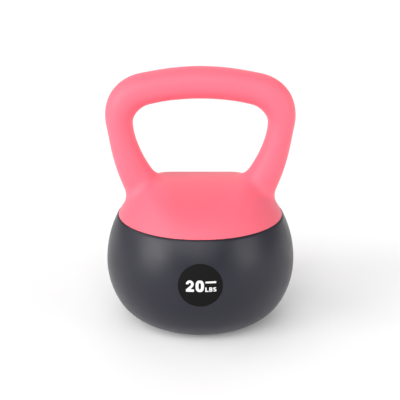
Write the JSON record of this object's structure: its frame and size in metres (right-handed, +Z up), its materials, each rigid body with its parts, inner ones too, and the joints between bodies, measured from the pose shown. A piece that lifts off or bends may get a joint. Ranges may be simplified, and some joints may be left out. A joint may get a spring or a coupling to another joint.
{
  "type": "kettlebell",
  "caption": "Soft-shell kettlebell with a pink one-piece handle and shoulder, a dark grey round body with a flat base, and a flush round weight label.",
  "frame": {"origin": "centre of the flat base, on the floor", "axes": "+Z up through the grip's middle, X along the grip, the weight label faces -Y"},
  "size_m": [0.2, 0.2, 0.2727],
  "materials": {
    "handle_cap": "soft-touch matte PVC",
    "shoulder_core": "moulded, ribbed",
    "handle_tube": "plain steel",
    "foot_collars": "plain steel",
    "foot_gussets": "plain steel",
    "anchor_plate": "plain steel",
    "weld_studs": "zinc plated",
    "neck_gasket": "flat rubber sheet",
    "clamp_ring": "zinc plated",
    "stud_washers": "zinc plated",
    "stud_nuts": "zinc plated",
    "seam_bead": "dark sealant, slightly glossy",
    "body_shell": "soft-touch matte PVC",
    "iron_sand": "loose iron sand",
    "base_disc": "moulded",
    "port_neck": "moulded",
    "filler_plug": "moulded",
    "plug_seal": "smooth",
    "weight_label": "printed satin black",
    "weight_numerals": "printed white"
  },
  "bodies": {
    "root": {"handle_cap": "handle_cap", "shoulder_core": "shoulder_core", "handle_tube": "handle_tube", "foot_collars": "foot_collars", "foot_gussets": "foot_gussets", "anchor_plate": "anchor_plate", "weld_studs": "weld_studs", "neck_gasket": "neck_gasket", "clamp_ring": "clamp_ring", "stud_washers": "stud_washers", "stud_nuts": "stud_nuts", "seam_bead": "seam_bead", "body_shell": "body_shell", "iron_sand": "iron_sand", "base_disc": "base_disc", "port_neck": "port_neck", "filler_plug": "filler_plug", "plug_seal": "plug_seal", "weight_label": "weight_label", "weight_numerals": "weight_numerals"}
  },
  "joints": []
}
